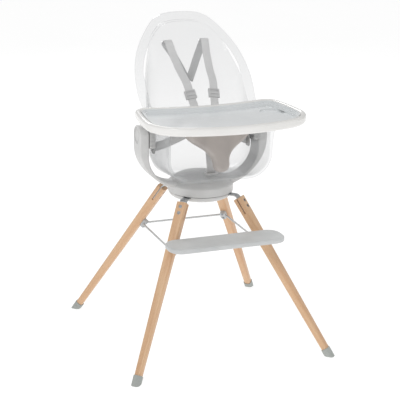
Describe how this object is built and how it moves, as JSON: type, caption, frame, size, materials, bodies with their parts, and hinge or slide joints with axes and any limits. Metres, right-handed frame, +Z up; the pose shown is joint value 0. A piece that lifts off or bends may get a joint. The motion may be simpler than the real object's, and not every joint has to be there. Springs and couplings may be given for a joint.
{
  "type": "baby high chair",
  "caption": "Swivel high chair with splayed wooden legs, a U-shaped yoke, a clear tilting bucket seat with harness, a sliding tray with lift-out insert and a wire-hung footrest.",
  "frame": {"origin": "on the floor, under the swivel axis and midway between the four feet", "axes": "+Z up, -Y towards the front of the chair, +X towards the chair's own left side"},
  "size_m": [0.6308, 0.6308, 0.9516],
  "materials": {
    "beech": "clear satin varnish over steamed beech",
    "foot_plastic": "fine matte",
    "zinc_steel": "zinc plated",
    "fastener_steel": "zinc plated",
    "spring_steel": "drawn wire",
    "bearing_plastic": "natural acetal",
    "satin_wire": "silver powder coat",
    "clip_plastic": "fine matte",
    "footrest_plastic": "fine matte",
    "frame_plastic": "fine matte",
    "button_plastic": "fine matte",
    "clear_shell": "clear polished",
    "bracket_plastic": "fine matte",
    "webbing": "woven webbing",
    "buckle_plastic": "fine matte",
    "tray_plastic": "soft gloss",
    "insert_plastic": "soft gloss",
    "post_plastic": "fine matte"
  },
  "bodies": {
    "base": {"leg_front_left": "beech", "leg_front_right": "beech", "leg_rear_left": "beech", "leg_rear_right": "beech", "foot_cap_front_left": "foot_plastic", "foot_cap_front_right": "foot_plastic", "foot_cap_rear_left": "foot_plastic", "foot_cap_rear_right": "foot_plastic", "leg_brackets": "zinc_steel", "leg_bolts": "fastener_steel", "leg_nuts": "fastener_steel", "hub_plate": "zinc_steel", "hub_screws": "fastener_steel", "hub_spindle": "zinc_steel", "swivel_bearing": "bearing_plastic", "spindle_nut": "fastener_steel", "hub_bowl": "frame_plastic", "bowl_screw": "fastener_steel", "stretcher_wire": "satin_wire", "wire_clips": "clip_plastic", "clip_screws": "fastener_steel", "footrest_board": "footrest_plastic", "footrest_brackets": "satin_wire", "footrest_screws": "fastener_steel"},
    "swivel": {"swivel_drum": "frame_plastic", "yoke": "frame_plastic", "drum_screws": "fastener_steel", "arm_head_left": "frame_plastic", "arm_head_right": "frame_plastic", "arm_screws": "fastener_steel", "button_spring_left": "spring_steel", "button_spring_right": "spring_steel"},
    "seat": {"seat_shell": "clear_shell", "seat_bracket_left": "bracket_plastic", "seat_bracket_right": "bracket_plastic", "bracket_screws": "fastener_steel", "pivot_pins": "zinc_steel", "tray_tracks": "bracket_plastic", "shoulder_strap_left": "webbing", "shoulder_strap_right": "webbing", "back_strap_left": "webbing", "back_strap_right": "webbing", "waist_strap_left": "webbing", "waist_strap_right": "webbing", "waist_anchors": "bracket_plastic", "buckle_tongues": "buckle_plastic", "buckle_body": "buckle_plastic", "crotch_strap": "webbing", "crotch_anchor": "buckle_plastic"},
    "tray": {"tray_body": "tray_plastic", "tray_rail_left": "bracket_plastic", "tray_rail_right": "bracket_plastic", "crotch_post": "post_plastic"},
    "insert": {"tray_insert": "insert_plastic"},
    "button_left": {"recline_button_left": "button_plastic"},
    "button_right": {"recline_button_right": "button_plastic"},
    "buckle_release": {"buckle_button": "buckle_plastic"},
    "slider_left": {"strap_slider_left": "buckle_plastic"},
    "slider_right": {"strap_slider_right": "buckle_plastic"}
  },
  "joints": [
    {"name": "swivel", "type": "hinge", "parent": "base", "child": "swivel", "pos_m": [0, 0, 0.4566], "axis": [0, 0, 1], "continuous": true},
    {"name": "seat_recline", "type": "hinge", "parent": "swivel", "child": "seat", "pos_m": [0, 0, 0.6346], "axis": [-1, 0, 0], "range_deg": [0, 15]},
    {"name": "tray_slide", "type": "slide", "parent": "seat", "child": "tray", "axis": [0, -1, 0], "range_m": [0, 0.14]},
    {"name": "insert_lift", "type": "slide", "parent": "tray", "child": "insert", "axis": [0, 0, 1], "range_m": [0, 0.08]},
    {"name": "recline_button_left", "type": "slide", "parent": "swivel", "child": "button_left", "axis": [-1, 0, 0], "range_m": [0, 0.003], "stiffness_N_per_m": 500, "deforming": ["button_spring_left"]},
    {"name": "recline_button_right", "type": "slide", "parent": "swivel", "child": "button_right", "axis": [1, 0, 0], "range_m": [0, 0.003], "stiffness_N_per_m": 500, "deforming": ["button_spring_right"]},
    {"name": "buckle_press", "type": "slide", "parent": "seat", "child": "buckle_release", "axis": [0, 0.9682, -0.25], "range_m": [0, 0.0025], "stiffness_N_per_m": 500},
    {"name": "strap_adjust_left", "type": "slide", "parent": "seat", "child": "slider_left", "axis": [-0.1233, -0.5637, -0.8167], "range_m": [0, 0.03]},
    {"name": "strap_adjust_right", "type": "slide", "parent": "seat", "child": "slider_right", "axis": [0.1233, -0.5637, -0.8167], "range_m": [0, 0.03]}
  ]
}
